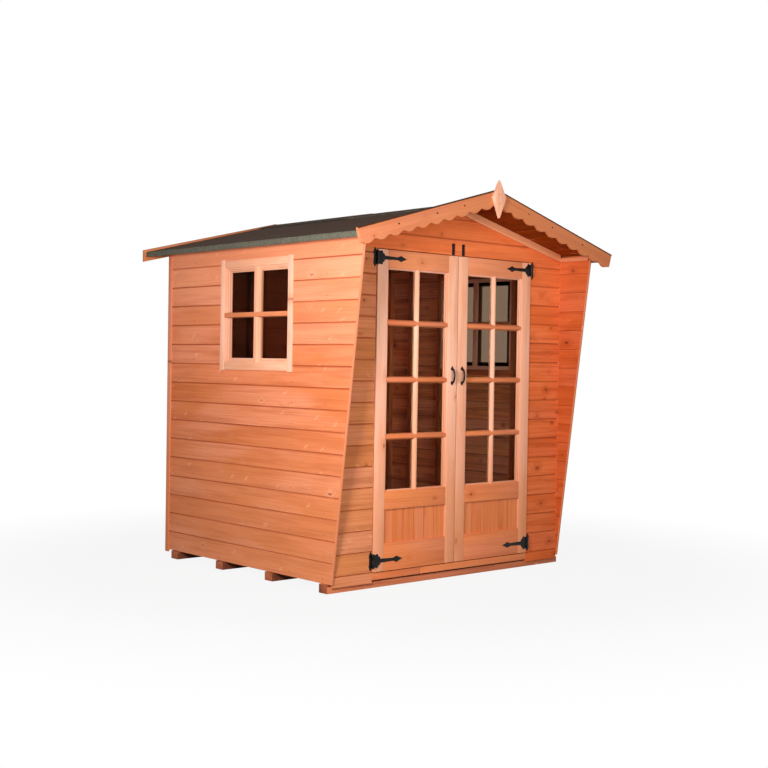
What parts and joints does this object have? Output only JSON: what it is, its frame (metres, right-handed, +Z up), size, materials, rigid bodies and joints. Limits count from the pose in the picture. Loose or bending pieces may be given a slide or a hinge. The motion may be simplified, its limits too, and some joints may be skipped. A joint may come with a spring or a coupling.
{
  "type": "summer house",
  "caption": "Small apex-roofed timber summer house with forward-leaning porch wings, glazed double doors that open outwards, side windows and scalloped bargeboards.",
  "frame": {"origin": "on the ground, at the middle of the footprint of the whole part, roof overhangs included", "axes": "+Z up, +Y from the doors towards the rear wall, +X to the right seen from the front"},
  "size_m": [2.03, 2.073, 2.2422],
  "materials": {
    "boards": "dip-treated softwood shiplap",
    "framing": "dip-treated sawn softwood",
    "joinery": "dip-treated planed softwood",
    "felt": "mineral-surfaced roofing felt",
    "ironmongery": "black japanned iron",
    "glass": "clear horticultural glass"
  },
  "bodies": {
    "house": {"floor_bearers": "framing", "floor_boards": "framing", "threshold": "boards", "left_wall": "boards", "right_wall": "boards", "rear_wall": "boards", "front_wall_left": "boards", "front_wall_right": "boards", "front_gable": "boards", "left_studs": "framing", "right_studs": "framing", "left_rails": "framing", "right_rails": "framing", "rear_studs": "framing", "rear_rails": "framing", "front_studs": "framing", "front_rails": "framing", "door_stops": "joinery", "wing_trims": "joinery", "wing_rails": "joinery", "rear_corner_strips": "joinery", "left_window_frame": "joinery", "right_window_frame": "joinery", "window_glass": "glass", "roof_boards": "boards", "eave_battens": "framing", "ridge_beam": "framing", "rafters": "framing", "left_felt": "felt", "right_felt": "felt", "ridge_felt": "felt", "gable_trim": "joinery", "left_bargeboard": "joinery", "right_bargeboard": "joinery", "rear_bargeboards": "joinery", "finial": "joinery", "hinge_plates": "ironmongery", "door_keepers": "ironmongery"},
    "left_door": {"left_door_frame": "joinery", "left_door_panel": "joinery", "left_door_glass": "glass", "left_door_straps": "ironmongery", "left_door_handle": "ironmongery"},
    "right_door": {"right_door_frame": "joinery", "right_door_panel": "joinery", "right_door_glass": "glass", "right_door_straps": "ironmongery", "right_door_handle": "ironmongery"}
  },
  "joints": [
    {"name": "left_door_hinge", "type": "hinge", "parent": "house", "child": "left_door", "pos_m": [-0.6185, -0.728, 0.963], "axis": [0, 0, -1], "range_deg": [0, 110]},
    {"name": "right_door_hinge", "type": "hinge", "parent": "house", "child": "right_door", "pos_m": [0.6185, -0.728, 0.963], "axis": [0, 0, 1], "range_deg": [0, 110]}
  ]
}
